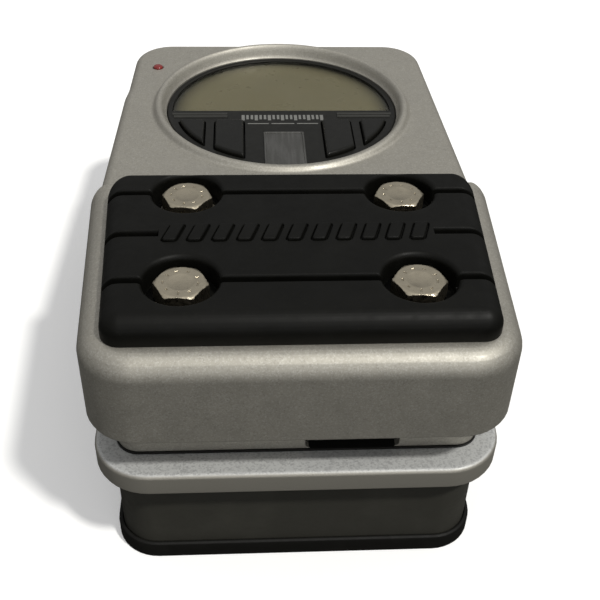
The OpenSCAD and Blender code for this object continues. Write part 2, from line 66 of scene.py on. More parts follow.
class Shader:
    """Node helpers around one Principled shader, working in object space."""

    def __init__(self, name, color, roughness, metallic=0.0, bevel=0.0, **sockets):
        self.material = bpy.data.materials.new(name)
        self.material.use_nodes = True
        self.tree = self.material.node_tree
        self.shader = self.tree.nodes["Principled BSDF"]
        self.color = (*color, 1.0)
        self.shader.inputs["Base Color"].default_value = self.color
        self.shader.inputs["Roughness"].default_value = roughness
        self.shader.inputs["Metallic"].default_value = metallic
        for socket, value in sockets.items():
            self.shader.inputs[socket.replace("_", " ")].default_value = value
        self.place = self.node("ShaderNodeTexCoord").outputs["Object"]
        self.normal = None
        if bevel:
            node = self.node("ShaderNodeBevel")
            node.samples = 4
            node.inputs["Radius"].default_value = bevel * MM
            self.normal = node.outputs["Normal"]
            self.tree.links.new(self.normal, self.shader.inputs["Normal"])

    def node(self, kind):
        return self.tree.nodes.new(kind)

    def feed(self, source, socket):
        """Gives a socket a plain number or another node's output."""
        if isinstance(source, (int, float)):
            socket.default_value = source
        else:
            self.tree.links.new(source, socket)

    def stretched(self, scale):
        """Object coordinates scaled along X, Y and Z."""
        mapping = self.node("ShaderNodeMapping")
        mapping.inputs["Scale"].default_value = scale
        self.feed(self.place, mapping.inputs["Vector"])
        return mapping.outputs["Vector"]

    def noise(self, size, detail=3.0, roughness=0.5, place=None):
        """Noise whose lumps are about size mm across, from 0 to 1."""
        node = self.node("ShaderNodeTexNoise")
        self.feed(place or self.place, node.inputs["Vector"])
        node.inputs["Scale"].default_value = 1 / (size * MM)
        node.inputs["Detail"].default_value = detail
        node.inputs["Roughness"].default_value = roughness
        return node.outputs["Fac"]

    def cells(self, size):
        """A random value from 0 to 1 in each cell of about size mm."""
        node = self.node("ShaderNodeTexVoronoi")
        self.feed(self.place, node.inputs["Vector"])
        node.inputs["Scale"].default_value = 1 / (size * MM)
        split = self.node("ShaderNodeSeparateColor")
        self.feed(node.outputs["Color"], split.inputs["Color"])
        return split.outputs["Red"]

    def math(self, operation, a, b=0.0):
        node = self.node("ShaderNodeMath")
        node.operation = operation
        self.feed(a, node.inputs[0])
        self.feed(b, node.inputs[1])
        return node.outputs["Value"]

    def fit(self, value, low, high, to_low=0.0, to_high=1.0):
        """Maps low to high onto to_low to to_high, held at both ends."""
        node = self.node("ShaderNodeMapRange")
        self.feed(value, node.inputs["Value"])
        node.inputs["From Min"].default_value = low
        node.inputs["From Max"].default_value = high
        node.inputs["To Min"].default_value = to_low
        node.inputs["To Max"].default_value = to_high
        return node.outputs["Result"]

    def tint(self, factor, color):
        """Mixes color over what the base colour is so far."""
        node = self.node("ShaderNodeMix")
        node.data_type = "RGBA"
        self.feed(factor, node.inputs["Factor"])
        socket = self.shader.inputs["Base Color"]
        if socket.is_linked:
            self.tree.links.new(socket.links[0].from_socket, node.inputs["A"])
        else:
            node.inputs["A"].default_value = self.color
        node.inputs["B"].default_value = (*color, 1.0)
        self.tree.links.new(node.outputs["Result"], socket)

    def vary(self, socket, value):
        """Drives one of the shader's sockets by a node's output."""
        self.feed(value, self.shader.inputs[socket])

    def bump(self, height, depth):
        """Adds relief of depth mm on top of the relief so far."""
        node = self.node("ShaderNodeBump")
        node.inputs["Distance"].default_value = depth * MM
        self.feed(height, node.inputs["Height"])
        if self.normal is not None:
            self.tree.links.new(self.normal, node.inputs["Normal"])
        self.normal = node.outputs["Normal"]
        self.tree.links.new(self.normal, self.shader.inputs["Normal"])


SILVER = (0.40, 0.382, 0.335)


def silver_paint():
    """Metallic paint on a casting: fine flakes, a faint orange peel and small worn specks."""
    m = Shader("silver_paint", SILVER, 0.56, 0.80, bevel=0.25, Coat_Weight=0.15, Coat_Roughness=0.22)
    m.tint(m.fit(m.noise(14, 2), 0.35, 0.7, 0.0, 0.22), (0.35, 0.335, 0.295))
    m.tint(m.fit(m.cells(0.20), 0.6, 1.0, 0.0, 0.32), (0.66, 0.65, 0.61))
    m.tint(m.fit(m.cells(0.27), 0.85, 0.95, 0.0, 0.25), (0.20, 0.19, 0.17))
    m.tint(m.fit(m.noise(1.1, 2), 0.80, 0.83, 0.0, 0.8), (0.85, 0.84, 0.80))
    m.vary("Roughness", m.fit(m.noise(3.0, 3), 0.3, 0.7, 0.53, 0.60))
    m.bump(m.noise(0.26, 2), 0.012)
    m.bump(m.noise(1.6, 1), 0.010)
    return m.material


def flange_paint_painted_light():
    """The same paint on the flange, with painted light: the upper face is painted lighter and less metallic where
    it faces up, with coarse glitter only there.
    """
    m = Shader("flange_paint_painted_light", SILVER, 0.54, 0.75, bevel=0.3, Coat_Weight=0.2, Coat_Roughness=0.25)
    facing = m.node("ShaderNodeSeparateXYZ")
    m.feed(m.node("ShaderNodeTexCoord").outputs["Normal"], facing.inputs["Vector"])
    # Painted light: faces that point up get a lighter, cooler colour and less metallic shine, standing for the lit
    # upper face
    upper = m.fit(facing.outputs["Z"], 0.55, 0.95)
    m.tint(upper, (0.52, 0.525, 0.515))
    glitter = m.fit(m.cells(0.30), 0.45, 1.0, 0.0, 0.7)
    m.tint(m.math("MULTIPLY", upper, glitter), (0.30, 0.30, 0.30))
    m.vary("Metallic", m.fit(upper, 0.0, 1.0, 0.75, 0.25))
    m.bump(m.noise(0.30, 2), 0.03)
    return m.material


def pad_rubber():
    """Black moulded rubber with a fine grain and faint paler patches and specks."""
    m = Shader("pad_rubber", (0.0026, 0.0026, 0.0019), 0.46, bevel=0.3, Specular_IOR_Level=0.15)
    m.tint(m.fit(m.noise(9, 4), 0.45, 0.8, 0.0, 0.5), (0.0065, 0.0064, 0.0052))
    m.tint(m.fit(m.noise(0.5, 3), 0.62, 0.78, 0.0, 0.25), (0.020, 0.019, 0.016))
    m.vary("Roughness", m.fit(m.noise(2.2, 4), 0.3, 0.75, 0.42, 0.58))
    m.bump(m.noise(0.18, 2), 0.010)
    m.bump(m.noise(2.5, 2), 0.015)
    return m.material


def foot_rubber():
    """Softer, duller black rubber with a coarser grain."""
    m = Shader("foot_rubber", (0.0050, 0.0048, 0.0040), 0.55, bevel=0.2, Specular_IOR_Level=0.2)
    m.tint(m.fit(m.noise(5, 4), 0.5, 0.8, 0.0, 0.5), (0.012, 0.0115, 0.0100))
    m.vary("Roughness", m.fit(m.noise(1.5, 3), 0.3, 0.7, 0.48, 0.62))
    m.bump(m.noise(0.3, 3), 0.02)
    return m.material


def satin_black(name, color, roughness, grain=0.12, gloss=0.2):
    """Satin plastic or paint, slightly uneven, with a fine moulded grain."""
    m = Shader(name, color, roughness, bevel=0.15, Specular_IOR_Level=gloss)
    lighter = [c * 1.5 for c in color]
    m.tint(m.fit(m.noise(7, 3), 0.45, 0.8, 0.0, 0.45), lighter)
    m.vary("Roughness", m.fit(m.noise(1.3, 4), 0.3, 0.7, roughness - 0.06, roughness + 0.08))
    m.bump(m.noise(grain, 2), 0.006)
    return m.material


def steel(name, color, roughness, bevel=0.12, lay=(1.0, 14.0, 1.0), worn=0.3):
    """Bare or plated steel with drawn lines, small pits and a little tarnish."""
    m = Shader(name, color, roughness, 1.0, bevel=bevel)
    lines = m.noise(0.9, 4, 0.6, m.stretched(lay))
    m.tint(m.fit(m.noise(1.8, 4), 0.45, 0.75, 0.0, worn), [c * 0.55 for c in color])
    m.vary("Roughness", m.fit(lines, 0.3, 0.75, roughness - 0.08, roughness + 0.14))
    m.bump(lines, 0.012)
    m.bump(m.fit(m.noise(0.35, 3), 0.62, 0.8), 0.02)
    return m.material


def clear_lens():
    """Clear sheet with a faint uneven shine, a mix that takes the place of the Principled shader."""
    shine_roughness = 0.12
    m = Shader("clear_lens", (0.94, 0.94, 0.92), shine_roughness)
    clear = m.node("ShaderNodeBsdfTransparent")
    clear.inputs["Color"].default_value = (0.95, 0.95, 0.92, 1.0)
    shine = m.node("ShaderNodeBsdfGlossy")
    shine.inputs["Roughness"].default_value = shine_roughness
    mix = m.node("ShaderNodeMixShader")
    m.feed(m.fit(m.noise(10, 2), 0.3, 0.8, 0.02, 0.035), mix.inputs["Fac"])
    m.feed(clear.outputs["BSDF"], mix.inputs[1])
    m.feed(shine.outputs["BSDF"], mix.inputs[2])
    m.feed(mix.outputs["Shader"], m.tree.nodes["Material Output"].inputs["Surface"])
    return m.material


def lcd_glass():
    """Grey-green liquid crystal glass, cloudy, with painted shade darkening it towards the round edge where it
    lies down in the well.
    """
    m = Shader("lcd_glass", (0.145, 0.130, 0.082), 0.34, Specular_IOR_Level=0.3)
    low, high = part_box("fascia")
    distance = m.node("ShaderNodeVectorMath")
    distance.operation = "DISTANCE"
    m.feed(m.stretched((1.0, 1.0, 0.0)), distance.inputs[0])
    distance.inputs[1].default_value = (0.0, (low.y + high.y) / 2, 0.0)
    # Painted shade: the glass darkens with distance from the display's centre, standing for the shade of the well
    # round it
    rim = m.fit(distance.outputs["Value"], 20.0 * MM, 24.8 * MM)
    m.tint(m.fit(m.noise(12, 2), 0.35, 0.7, 0.0, 0.4), (0.165, 0.148, 0.098))
    m.tint(m.math("MULTIPLY", m.math("MULTIPLY", rim, rim), 0.95), (0.012, 0.012, 0.010))
    m.vary("Roughness", m.fit(m.noise(4, 3), 0.3, 0.7, 0.26, 0.36))
    return m.material


def board_green():
    """Solder mask over copper areas, with small bare pads."""
    m = Shader("board_green", (0.015, 0.12, 0.05), 0.38, bevel=0.1)
    m.tint(m.fit(m.cells(2.4), 0.72, 0.78, 0.0, 0.8), (0.03, 0.20, 0.09))
    m.tint(m.fit(m.cells(1.1), 0.93, 0.95, 0.0, 0.9), (0.55, 0.52, 0.42))
    m.bump(m.fit(m.cells(2.4), 0.72, 0.78), 0.05)
    return m.material


def battery_wrap():
    """Grey printed foil round the battery, slightly wrinkled."""
    m = Shader("battery_wrap", (0.20, 0.21, 0.23), 0.34, 0.4, bevel=0.4)
    m.tint(m.fit(m.noise(8, 3), 0.4, 0.7, 0.0, 0.4), (0.30, 0.31, 0.33))
    m.bump(m.noise(1.5, 2), 0.03)
    return m.material


def white_diffuser():
    """Milky plastic behind the display, slightly yellowed in places."""
    m = Shader("white_diffuser", (0.72, 0.72, 0.68), 0.5, Subsurface_Weight=0.2)
    m.tint(m.fit(m.noise(5, 2), 0.4, 0.7, 0.0, 0.4), (0.62, 0.62, 0.58))
    return m.material


def red_lens():
    """Dark red glossy plastic, as the indicator looks when it is off."""
    m = Shader("red_lens", (0.19, 0.010, 0.008), 0.18, Coat_Weight=0.5)
    m.tint(m.fit(m.noise(0.7, 2), 0.4, 0.7, 0.0, 0.5), (0.10, 0.006, 0.005))
    return m.material


def plaque_face():
    """Dull grey metallic plate with faint vertical streaks."""
    m = Shader("plaque_face", (0.085, 0.084, 0.078), 0.34, 0.6, bevel=0.1)
    streaks = m.noise(2.5, 3, 0.5, m.stretched((3.0, 0.3, 1.0)))
    m.tint(m.fit(streaks, 0.4, 0.7, 0.0, 0.6), (0.16, 0.158, 0.152))
    m.vary("Roughness", m.fit(m.noise(1.0, 3), 0.3, 0.7, 0.26, 0.38))
    return m.material


def printed_ink():
    """Thin grey print, uneven where it has worn."""
    m = Shader("printed_ink", (0.17, 0.17, 0.16), 0.5)
    m.tint(m.fit(m.noise(0.4, 3), 0.45, 0.7, 0.0, 0.5), (0.10, 0.10, 0.095))
    return m.material


MATERIALS = {
    "silver_paint": silver_paint(),
    "foot_rubber": foot_rubber(),
    "tub_plastic": satin_black("tub_plastic", (0.036, 0.035, 0.029), 0.40, grain=0.2, gloss=0.45),
    "pad_rubber": pad_rubber(),
    "stainless": steel("stainless", (0.53, 0.475, 0.365), 0.30, bevel=0.18, lay=(1.0, 9.0, 1.0), worn=0.35),
    "zinc_steel": steel("zinc_steel", (0.50, 0.50, 0.51), 0.32),
    "spring_steel": steel("spring_steel", (0.42, 0.42, 0.43), 0.28, bevel=0.08),
    "bright_chrome": steel("bright_chrome", (0.66, 0.66, 0.66), 0.16, lay=(1.0, 3.0, 3.0), worn=0.15),
    "fascia_plastic": satin_black("fascia_plastic", (0.0080, 0.0080, 0.0068), 0.40, grain=0.1),
    "button_plastic": satin_black("button_plastic", (0.0060, 0.0060, 0.0050), 0.30, grain=0.15),
    "black_plastic": satin_black("black_plastic", (0.008, 0.008, 0.007), 0.44),
    "grey_satin": plaque_face(),
    "clear_lens": clear_lens(),
    "lcd_grey": lcd_glass(),
    "white_diffuser": white_diffuser(),
    "red_lens": red_lens(),
    "board_green": board_green(),
    "spacer_brass": steel("spacer_brass", (0.60, 0.42, 0.16), 0.28),
    "battery_wrap": battery_wrap(),
}
INK = printed_ink()
# Silver paint with painted light on its upward faces, for the flange
FLANGE_PAINT_PAINTED_LIGHT = flange_paint_painted_light()
# Painted highlight: a paler copy of the satin black for the fascia's ridges, standing for light on their tops
RIDGE_PAINTED_HIGHLIGHT = satin_black("ridge_painted_highlight", (0.034, 0.034, 0.031), 0.42, grain=0.1)

# Every CAD node shows the material of its own slot
for part in frame["record"]["subparts"]:
    mesh = frame["nodes"][part["node"]].data
    mesh.materials.clear()
    mesh.materials.append(MATERIALS[part["material_slot"]])


# ---------------------------------------------------------------- mesh helpers

Box = namedtuple("Box", "x0 x1 y0 y1 z0 z1")


def box_mm(node):
    """Extents of a CAD node in mm."""
    low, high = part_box(node)
    return Box(*(v / MM for pair in zip(low, high) for v in pair))


def finish_normals(obj):
    """Smooth shading with the true corners kept sharp."""
    bm = bmesh.new()
    bm.from_mesh(obj.data)
    bmesh.ops.recalc_face_normals(bm, faces=bm.faces)
    for face in bm.faces:
        face.smooth = True
    for edge in bm.edges:
        edge.smooth = len(edge.link_faces) == 2 and edge.calc_face_angle(0) < SMOOTH_ANGLE
    bm.to_mesh(obj.data)
    bm.free()
    weights = obj.modifiers.new("weights", "WEIGHTED_NORMAL")
    weights.keep_sharp = True


def raw_object(name, verts, faces):
    """An object in the scene from points in mm."""
    mesh = bpy.data.meshes.new(name)
    mesh.from_pydata([Vector(v) * MM for v in verts], [], faces)
    obj = bpy.data.objects.new(name, mesh)
    scene.collection.objects.link(obj)
    return obj


def settle(obj, slot, body, replaces=(), look=None):
    """Gives a built mesh its body, the CAD nodes that it stands for, and its slot's material or look."""
    obj.data.materials.clear()
    obj.data.materials.append(look or MATERIALS[slot])
    finish_normals(obj)
    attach(obj, body)
    if replaces:
        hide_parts(*replaces)


def apply_modifiers(obj):
    """Makes the result of the object's modifiers its mesh."""
    graph = bpy.context.evaluated_depsgraph_get()
    result = bpy.data.meshes.new_from_object(obj.evaluated_get(graph))
    obj.modifiers.clear()
    obj.data = result


def loft(rings, closed_ends=True):
    """Verts and faces of a skin over rings that all have the same number of points."""
    count = len(rings[0])
    verts = [p for ring in rings for p in ring]
    faces = []
    for r in range(len(rings) - 1):
        for i in range(count):
            j = (i + 1) % count
            a, b = r * count, (r + 1) * count
            faces.append((a + i, a + j, b + j, b + i))
    if closed_ends:
        faces.append(tuple(reversed(range(count))))
        faces.append(tuple((len(rings) - 1) * count + i for i in range(count)))
    return verts, faces


def stack(levels, side=1):
    """Skin over levels of (plan, height), where a plan is a list of (x, y), mirrored if side is -1."""
    return loft([[(side * x, y, z) for x, y in plan] for plan, z in levels])


def prism(plan, heights, side=1):
    """Upright form of one plan."""
    return stack([(plan, z) for z in heights], side)


def block(x0, x1, y0, y1, z0, z1):
    return prism([(x0, y0), (x1, y0), (x1, y1), (x0, y1)], (z0, z1))


def bar(section, xs):
    """Form along X with one section of (y, z) at each x."""
    return loft([[(x, y, z) for y, z in section] for x in xs])


def turned(profile, centre, axis="z", steps=64, hollow=False):
    """Profile of (radius, height) turned about an axis through centre, joined end to end if hollow."""
    rings = []
    for radius, height in profile:
        ring = []
        for i in range(steps):
            a = 2 * math.pi * i / steps
            u, v = radius * math.cos(a), radius * math.sin(a)
            if axis == "z":
                ring.append((centre[0] + u, centre[1] + v, centre[2] + height))
            elif axis == "x":
                ring.append((centre[0] + height, centre[1] + u, centre[2] + v))
            else:
                ring.append((centre[0] + v, centre[1] + height, centre[2] + u))
        rings.append(ring)
    if hollow:
        rings.append(rings[0])
    return loft(rings, not hollow)


def hexagon(across, cone, steps, turn=0.0):
    """Points (u, v) of a hexagon of this width across its flats, cut down to the radius cone."""
    ring = []
    for i in range(steps):
        a = 2 * math.pi * i / steps
        flat = (across / 2) / math.cos((a + math.pi / 6) % (math.pi / 3) - math.pi / 6)
        r = min(flat, cone)
        ring.append((r * math.cos(a + turn), r * math.sin(a + turn)))
    return ring


def round_in(z, top, radius):
    """How far a rounded upper edge has moved in at height z."""
    rise = z - (top - radius)
    if rise <= 0:
        return 0.0
    return radius - math.sqrt(max(0.0, radius * radius - min(rise, radius) ** 2))


def outline(w, y0, y1, r0, r1, z, side=0.0, near=0.0, far=0.0):
    """Ring round a plan with near and far widths w and corner radii r0 and r1.

    side, near and far move its edges in.
    """
    half0, half1 = w[0] / 2 - side, w[1] / 2 - side
    y0, y1 = y0 + near, y1 - far
    r0, r1 = max(r0 - max(side, near), 0.3), max(r1 - max(side, far), 0.3)
    corners = ((half0 - r0, y0 + r0, r0, -90), (half1 - r1, y1 - r1, r1, 0),
               (r1 - half1, y1 - r1, r1, 90), (r0 - half0, y0 + r0, r0, 180))
    ring = []
    for cx, cy, r, start in corners:
        for k in range(CORNER_STEPS + 1):
            a = math.radians(start + 90 * k / CORNER_STEPS)
            ring.append((cx + r * math.cos(a), cy + r * math.sin(a), z))
    return ring


def outlines(w, y0, y1, r0, r1, levels):
    """Rings of one outline at levels of (height, inset)."""
    return [outline(w, y0, y1, r0, r1, z, inset, inset, inset) for z, inset in levels]


def crown_heights(top, radius, steps=8):
    """Heights that follow a rounded upper edge in equal turns."""
    return [top - radius + radius * math.sin(math.pi / 2 * k / steps) for k in range(steps + 1)]


def crowned(w, y0, y1, r0, r1, z0, top, side_r, near_r, far_r, foot):
    """Block with rounded upper edges, and a lower edge softened by foot, as verts and faces."""
    rings = outlines(w, y0, y1, r0, r1, ((z0, foot), (z0 + foot * 0.3, foot * 0.3), (z0 + foot, 0.0)))
    heights = {z for radius in (side_r, near_r, far_r) for z in crown_heights(top, radius)}
    for z in sorted(heights):
        if z > z0 + foot:
            rings.append(outline(w, y0, y1, r0, r1, z, round_in(z, top, side_r),
                                 round_in(z, top, near_r), round_in(z, top, far_r)))
    return loft(rings)


def combine(obj, verts, faces, operation):
    """Carves a closed mesh out of obj or joins it to obj."""
    tool = raw_object("tool", verts, faces)
    bm = bmesh.new()
    bm.from_mesh(tool.data)
    bmesh.ops.recalc_face_normals(bm, faces=bm.faces)
    bm.to_mesh(tool.data)
    bm.free()
    cut = obj.modifiers.new("cut", "BOOLEAN")
    cut.object = tool
    cut.operation = operation
    cut.solver = "EXACT"
    apply_modifiers(obj)
    bpy.data.objects.remove(tool)


def carve(obj, verts, faces):
    combine(obj, verts, faces, "DIFFERENCE")


def join(obj, verts, faces):
    combine(obj, verts, faces, "UNION")


def merged(parts):
    """Several (verts, faces) as one."""
    verts, faces = [], []
    for v, f in parts:
        base = len(verts)
        verts += v
        faces += [tuple(base + i for i in face) for face in f]
    return verts, faces


# ---------------------------------------------------------------- measures from the CAD frame

HOUSING = box_mm("housing")
TREADLE = box_mm("treadle")
PAD = box_mm("treadle_pad")
TUB = box_mm("base_tub")
FOOT = box_mm("rubber_foot")
FASCIA = box_mm("fascia")
JACK_NUTS = box_mm("jack_nuts")

# The treadle's hinge is the frame's first joint
HINGE = [v / MM for v in frame["joints"][0]["pos_m"]]
HINGE_PIN_R = 1.8
LUG_R = 3.2

# Plain faces, below what stands on them in CAD: a ridge, ribs and the far side of the ring
RIDGE_H, RIB_H, RING_FAR_H = 0.4, 0.4, 2.5
FASCIA_TOP = FASCIA.z1 - RIDGE_H
PAD_FACE = PAD.z1 - RIB_H
HOUSING_TOP = HOUSING.z1 - RING_FAR_H
FLANGE_T = 4.5
FLANGE_TOP = HOUSING.z0 + FLANGE_T

FASCIA_R = (FASCIA.x1 - FASCIA.x0) / 2
WELL_R = FASCIA_R + 0.2
DISPLAY_Y = (FASCIA.y0 + FASCIA.y1) / 2
JACK_Y = (JACK_NUTS.y0 + JACK_NUTS.y1) / 2
JACK_Z = (JACK_NUTS.z0 + JACK_NUTS.z1) / 2
SPRING_X = 27

# Bolts of the pad and screws of the base, each as two rows from near to far
BOLT_Y, BOLT_DX, BOLT_DY = -37.0, 38.5, 25.5
BOLT_SPOTS = [(sx * BOLT_DX / 2, BOLT_Y + sy * BOLT_DY / 2) for sy in (-1, 1) for sx in (-1, 1)]
SCREW_SPOTS = [(x, y) for y in (-54, 56) for x in (-26, 26)]


# ---------------------------------------------------------------- base

def build_tub():
    """Open box with a rounded lower edge and a post round each base screw."""
    wall, floor_z = 2, TUB.z0 + 1.8
    post_r, head_r, shank_r = 3.5, 3, 1.7
    levels = ((TUB.z0, 1.0), (TUB.z0 + 0.4, 0.4), (TUB.z0 + 1.2, 0.05), (TUB.z0 + 6, 0),
              (TUB.z1 - 1, 0), (TUB.z1, 0), (TUB.z1, wall), (floor_z, wall))
    obj = raw_object("base_tub_shell", *loft(outlines([TUB.x1 - TUB.x0] * 2, TUB.y0, TUB.y1, 7, 7, levels)))
    post = [(post_r, TUB.z0 + 1), (post_r, TUB.z1)]
    bore = [(head_r, TUB.z0 - 1), (head_r, floor_z), (shank_r, floor_z), (shank_r, TUB.z1 + 1)]
    for x, y in SCREW_SPOTS:
        join(obj, *turned(post, (x, y, 0)))
        carve(obj, *turned(bore, (x, y, 0)))
    settle(obj, "tub_plastic", "chassis", ["base_tub"])


def build_foot():
    """Rubber tray round the tub: rolled lower edge, rounded lip and a narrow groove at the tub."""
    z0, z1 = FOOT.z0, FOOT.z1
    levels = ((z0, 0.2), (z0 + 0.06, 0.08), (z0 + 0.2, 0.0), (z0 + 0.9, 0.0), (z0 + 1.9, 0.0),
              (z1 - 0.7, 0.0), (z1 - 0.25, 0.12), (z1, 0.42), (z1, 0.75), (z1 - 0.3, 0.86),
              (z1 - 1.6, 0.88), (TUB.z0, 0.88))
    rings = outlines([FOOT.x1 - FOOT.x0] * 2, FOOT.y0, FOOT.y1, 7.9, 7.9, levels)
    obj = raw_object("rubber_foot_tray", *loft(rings))
    for x, y in SCREW_SPOTS:
        carve(obj, *turned([(3.2, -1), (3.2, z1)], (x, y, 0), steps=32))
    settle(obj, "foot_rubber", "chassis", ["rubber_foot"])


def build_base_screws():
    """Rounded heads facing down, with a cross slot, on long shanks."""
    z0 = box_mm("base_screws").z0
    profile = [(0.6, z0 + 0.9), (0.9, z0 + 0.1), (2.2, z0), (2.55, z0 + 0.25), (2.7, z0 + 0.8),
               (2.7, z0 + 1.6), (1.45, z0 + 1.6), (1.45, z0 + 27.6), (0.7, z0 + 28.4)]
    screws = [turned(profile, (x, y, 0), steps=32) for x, y in SCREW_SPOTS]
    obj = raw_object("base_screw_set", *merged(screws))
    for x, y in SCREW_SPOTS:
        for half_x, half_y in ((1.6, 0.3), (0.3, 1.6)):
            carve(obj, *block(x - half_x, x + half_x, y - half_y, y + half_y, z0 - 1, z0 + 0.9))
    settle(obj, "zinc_steel", "chassis", ["base_screws"])


# ---------------------------------------------------------------- housing

FRONT_Y = -58.2
FRONT_W = (63, 63)
FRONT_TOP = 38.6
FLANGE_W = (71.4, 71.4)

# Far block: its near end, its near and far widths, and where its left side steps in
BLOCK_Y0 = -11.5
BLOCK_W = (76.4, 72.0)
STEP_Y = 38.0
SIDE_R, NEAR_R, FAR_R = 2.2, 0.6, 1.8

# Raised ring: its height above the block at the near side, what the far side adds, the radius
# of its crest, and its section as (radius, share of the height) from outside to inside
RING_NEAR_H = 0.9
RING_RISE = 1.5
RING_R = 28.2
RING_PROFILE = ((30.2, 0.0), (29.95, 0.02), (29.7, 0.09), (29.5, 0.24), (29.3, 0.46),
                (29.1, 0.68), (28.9, 0.85), (28.65, 0.96), (28.35, 1.0), (28.05, 0.97),
                (27.8, 0.87), (27.55, 0.68), (27.3, 0.40), (27.05, 0.04), (26.8, -0.18))


def ring_height(y):
    """The ring stands higher at its far side."""
    share = (y - DISPLAY_Y + RING_R) / (2 * RING_R)
    return RING_NEAR_H + RING_RISE * min(1.0, max(0.0, share))


def block_outline(z, side=0.0, near=0.0, far=0.0, step=0.45):
    """Plan of the far block as a dense ring, with a shallow shoulder in its left side."""
    ring = outline(BLOCK_W, BLOCK_Y0, HOUSING.y1, 1.2, 9, z, side, near, far)
    dense = []
    for i, a in enumerate(ring):
        b = ring[(i + 1) % len(ring)]
        pieces = max(1, int(math.dist(a, b) / 1.5))
        for k in range(pieces):
            t = k / pieces
            x, y = a[0] + (b[0] - a[0]) * t, a[1] + (b[1] - a[1]) * t
            if x < -25:
                ease = min(1.0, max(0.0, (y - STEP_Y + 3) / 6))
                x += step * (ease * ease * (3 - 2 * ease) - 0.5)
            dense.append((x, y, z))
    return dense


def cast_ray(ring, angle, z):
    """Where a ray from the display's centre at this angle meets the ring round it."""
    dx, dy = math.cos(angle), math.sin(angle)
    for i, (ax, ay, _) in enumerate(ring):
        bx, by, _ = ring[(i + 1) % len(ring)]
        ay, by = ay - DISPLAY_Y, by - DISPLAY_Y
        side_a, side_b = dx * ay - dy * ax, dx * by - dy * bx
        if side_a <= 0 < side_b:
            t = side_a / (side_a - side_b)
            x, y = ax + (bx - ax) * t, ay + (by - ay) * t
            if x * dx + y * dy > 0:
                return (x, y + DISPLAY_Y, z)
    raise ValueError("the ring doesn't go round the display")


def block_skin():
    """Far block and its raised display ring, as one continuous skin from the flange to the well."""
    angles = sorted({math.atan2(y - DISPLAY_Y, x) for x, y, _ in block_outline(0)}
                    | {math.radians(a) for a in range(-179, 181)})
    crown = set(crown_heights(HOUSING_TOP, SIDE_R) + crown_heights(HOUSING_TOP, NEAR_R, 4))
    rings = []
    for z in [FLANGE_TOP - 0.3, FLANGE_TOP + 8] + sorted(crown):
        inset = [round_in(z, HOUSING_TOP, radius) for radius in (SIDE_R, NEAR_R, FAR_R)]
        ring = block_outline(z, *inset)
        rings.append([cast_ray(ring, a, z) for a in angles])
    for radius, share in RING_PROFILE:
        spots = [(radius * math.cos(a), DISPLAY_Y + radius * math.sin(a)) for a in angles]
        rings.append([(x, y, HOUSING_TOP + ring_height(y) * share) for x, y in spots])
    for z in (HOUSING_TOP - 0.6, FASCIA.z0 + 0.2):
        rings.append([(WELL_R * math.cos(a), DISPLAY_Y + WELL_R * math.sin(a), z) for a in angles])
    return loft(rings, False)


def build_block():
    """Far block as a thin casting, with openings for the indicator, the sockets and the lift switch."""
    obj = raw_object("housing_block", *block_skin())
    wall = obj.modifiers.new("wall", "SOLIDIFY")
    wall.thickness = 1.6 * MM
    wall.offset = -1
    apply_modifiers(obj)

    led = box_mm("power_led")
    led_hole = [(1.35, HOUSING_TOP - 6), (1.35, HOUSING_TOP + 2)]
    carve(obj, *turned(led_hole, ((led.x0 + led.x1) / 2, (led.y0 + led.y1) / 2, 0)))

    seat_x, seat_r, jack_r = 37.4, 7.8, 4.8
    for side in (-1, 1):
        jack_hole = [(jack_r, side * 33), (jack_r, side * seat_x), (seat_r, side * seat_x),
                     (seat_r, side * 40), (0.1, side * 40)]
        carve(obj, *turned(jack_hole, (0, JACK_Y, JACK_Z), "x"))

    wall_y0, wall_y1 = HOUSING.y1 - 5, HOUSING.y1 + 1
    inlet, inlet_z, inlet_r = box_mm("dc_inlet"), 29.7, 4.3
    inlet_hole = [(inlet_r, wall_y0), (inlet_r, wall_y1)]
    carve(obj, *turned(inlet_hole, ((inlet.x0 + inlet.x1) / 2, 0, inlet_z), "y"))

    lift, lift_z = box_mm("lift_switch_body"), 28.2
    lift_x = (lift.x0 + lift.x1) / 2
    carve(obj, *block(lift_x - 4.6, lift_x + 4.6, wall_y0, wall_y1, lift_z - 2, lift_z + 2))
    settle(obj, "silver_paint", "chassis", ["housing"])


def build_flange():
    """Flat plate round the foot of the housing, open in the middle, with rounded outer edges."""
    z0, z1, edge, rim_w = HOUSING.z0, FLANGE_TOP, 0.45, 7.5
    levels = ((z0, rim_w), (z0, edge), (z0 + 0.13, 0.13), (z0 + edge, 0), (z1 - 0.8, 0), (z1 - 0.55, 0.06),
              (z1 - 0.24, 0.24), (z1 - 0.06, 0.5), (z1, 0.85), (z1, rim_w))
    rings = outlines(FLANGE_W, HOUSING.y0, HOUSING.y1, 10, 8, levels)
    rings.append(rings[0])
    # The flange gets the copy of the silver paint whose upper face has painted light
    settle(raw_object("housing_flange", *loft(rings, False)), "silver_paint", "chassis", look=FLANGE_PAINT_PAINTED_LIGHT)


def build_front_contact_shadow():
    """Thin black strip of painted shade, standing for the contact shadow where the front wall meets the flange."""
    levels = ((FLANGE_TOP - 0.2, -0.3), (FLANGE_TOP + 0.4, -0.3), (FLANGE_TOP + 0.55, 0.3))
    seam = raw_object("front_contact_shadow", *loft(outlines(FRONT_W, FRONT_Y, 0, 4, 1, levels)))
    settle(seam, "black_plastic", "chassis")


